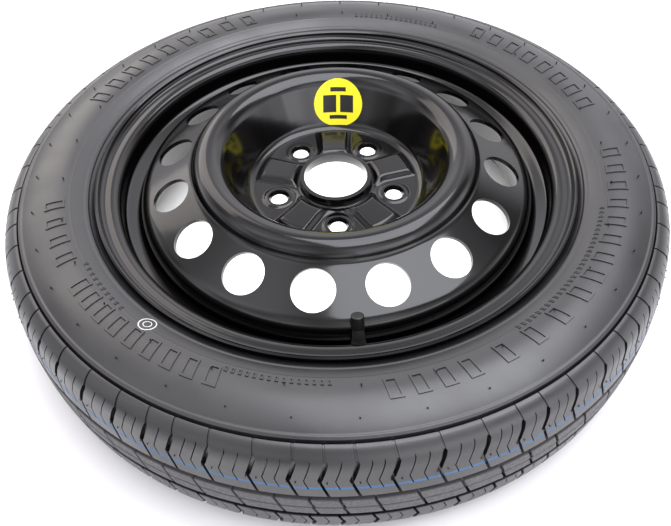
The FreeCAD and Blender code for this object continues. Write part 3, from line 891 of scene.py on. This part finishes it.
def cut_holes(piece):
    """Cut the vents and the bolt holes with one cutter."""
    corners, faces = [], []
    tools = []
    for k in range(VENTS):
        spin = Matrix.Rotation(math.radians(VENT_PHASE + k * 360 / VENTS), 4, "Z")
        place = Matrix.Translation((VENT_PLACE[0] * MM, 0, (VENT_PLACE[1] + HALF_WIDTH) * MM))
        tilt = Matrix.Rotation(VENT_SLOPE, 4, "Y")
        tools.append((VENT_CUTTER, spin @ place @ tilt, 72))
    for k in range(BOLTS):
        spin = Matrix.Rotation(math.radians(BOLT_PHASE + k * 360 / BOLTS), 4, "Z")
        place = Matrix.Translation((BOLT_PLACE * MM, 0, (PAD_HEIGHT + HALF_WIDTH) * MM))
        tools.append((BOLT_CUTTER, spin @ place, 48))
    for outline, matrix, columns in tools:
        more, sides = lathe(outline, matrix, columns)
        faces += [[index + len(corners) for index in side] for side in sides]
        corners += more
    mesh = bpy.data.meshes.new("cutter")
    mesh.from_pydata(corners, [], faces)
    cutter = bpy.data.objects.new("cutter", mesh)
    bpy.context.scene.collection.objects.link(cutter)
    cut = piece.modifiers.new("holes", "BOOLEAN")
    cut.operation = "DIFFERENCE"
    cut.solver = "MANIFOLD"
    cut.object = cutter
    done = bpy.data.meshes.new_from_object(piece.evaluated_get(bpy.context.evaluated_depsgraph_get()))
    piece.modifiers.clear()
    piece.data = done
    bpy.data.objects.remove(cutter)


cut_holes(disc)
disc.data.shade_smooth()
settle(disc, "wheel_paint", "wheel_disc")

# %% [markdown]
# The sticker is a round of yellow vinyl, pressed on to the bowl's wall, with four plain printed blocks.
# It could be drawn in an image on the disc, but thin sheets that follow the wall stay sharp from near
# and can be taken off by themselves.

# %% Sticker
LABEL_AZIMUTH = math.radians(87.0)
LABEL_RADIUS = 25.0
VINYL = 0.3
WALL_TOP, WALL_FOOT = (np.array(corner[:2]) for corner in disc_corners()[4:6])
WALL_WAY = unit(WALL_TOP - WALL_FOOT)
low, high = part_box("round_label")
label_height = (low[2] + high[2]) / 2 / MM - HALF_WIDTH
label_along = (label_height - WALL_FOOT[1]) / WALL_WAY[1]


def on_wall(rise, across, lift):
    """Points on the bowl's wall, from millimetres up, across and off it at the sticker's middle."""
    spots = WALL_FOOT + (label_along + rise)[..., None] * WALL_WAY + left_of(WALL_WAY) * lift
    return wheel_points(spots[..., 0], spots[..., 1], LABEL_AZIMUTH - across / spots[..., 0])


def sticker():
    """Rings of points from the sticker's middle to its edge, and down its edge to the paint."""
    turn = -np.arange(96) * 2 * math.pi / 96
    steps = [(reach, VINYL) for reach in (0.05, 8, 16, LABEL_RADIUS)]
    rings = []
    for reach, lift in steps + [(LABEL_RADIUS, -0.1)]:
        rings.append(on_wall(reach * np.sin(turn), reach * np.cos(turn), lift))
    return np.array(rings)


settle(grid_mesh("round_sticker", [sticker()], [vinyl], False), "label_vinyl", "round_label")

# %% [markdown]
# The print is ink on the vinyl. Four blocks are laid just clear of it, each a small grid that bends with
# the wall.

# %% Sticker print
# Bottom, top, left and right edge in millimetres from the sticker's middle
PRINT = [
    (-10.0, 8.0, -15.5, -2.0),
    (-10.0, 8.0, 2.0, 15.5),
    (11.5, 16.0, -8.0, 8.0),
    (-17.0, -13.0, -9.0, 9.0),
]
for index, (bottom, top, left, right) in enumerate(PRINT):
    up, along = np.meshgrid(np.linspace(bottom, top, 6), np.linspace(left, right, 8), indexing="ij")
    block = on_wall(up, along, VINYL + 0.1)
    settle(grid_mesh(f"sticker_print_{index + 1}", [block], [ink], False, False), "label_vinyl")

# %% [markdown]
# A near-white floor fills the picture and keeps the wheel's soft shadow. One sun could light it, but
# gloss paint shows its lights, so there are large panels, and a room that is a little uneven to give the
# paint something to mirror. A small lamp under the disc keeps the floor bright in the vents.

# %% Floor, world and lights
floor_paint, _, _ = material("white_floor", "f4f4f4", 0.9, Specular_IOR_Level=0.1)
span = 4.0
corners = np.array([[(-span, -span, 0), (span, -span, 0)], [(-span, span, 0), (span, span, 0)]])
floor = grid_mesh("floor", [corners], [floor_paint], False, False)

world = bpy.data.worlds.new("studio")
world.use_nodes = True
tree = world.node_tree
sky = tree.nodes["Background"]
sky.inputs["Color"].default_value = hex_colour("dddbe0")
way = node(tree, "ShaderNodeTexCoord")
room = node(tree, "ShaderNodeTexNoise", {"Vector": way.outputs["Generated"], "Scale": 1.7, "Detail": 1.0})
tree.links.new(spread(tree, room, 0.5, 3.0), sky.inputs["Strength"])
bpy.context.scene.world = world

# Shape, place, point that it faces, width, height, power in watts, colour
PANELS = {
    "top_panel": ("RECTANGLE", (0.55, 0.1, 2.0), (0.1, 0, 0), 1.9, 1.6, 50.0, "f7f9ff"),
    "back_panel": ("RECTANGLE", (-1.3, 1.5, 1.6), (0, 0, 0.1), 1.7, 1.6, 20.0, "fff8f0"),
    "front_panel": ("RECTANGLE", (1.1, -1.7, 0.7), (0, 0, 0.1), 1.5, 0.9, 6.5, "f7f9ff"),
    "vent_lamp": ("DISK", (0, 0, 0.03), (0, 0, 0), 0.34, 0.34, 0.8, "ffffff"),
}
for name, (shape, place, target, width, height, power, colour) in PANELS.items():
    data = bpy.data.lights.new(name, "AREA")
    data.shape = shape
    data.size = width
    data.size_y = height
    data.energy = power
    data.color = hex_colour(colour)[:3]
    panel = bpy.data.objects.new(name, data)
    panel.location = place
    panel.rotation_euler = (Vector(target) - Vector(place)).to_track_quat("-Z", "Y").to_euler()
    bpy.context.scene.collection.objects.link(panel)
bpy.context.scene.view_settings.view_transform = "Standard"
print("lights", len(PANELS))
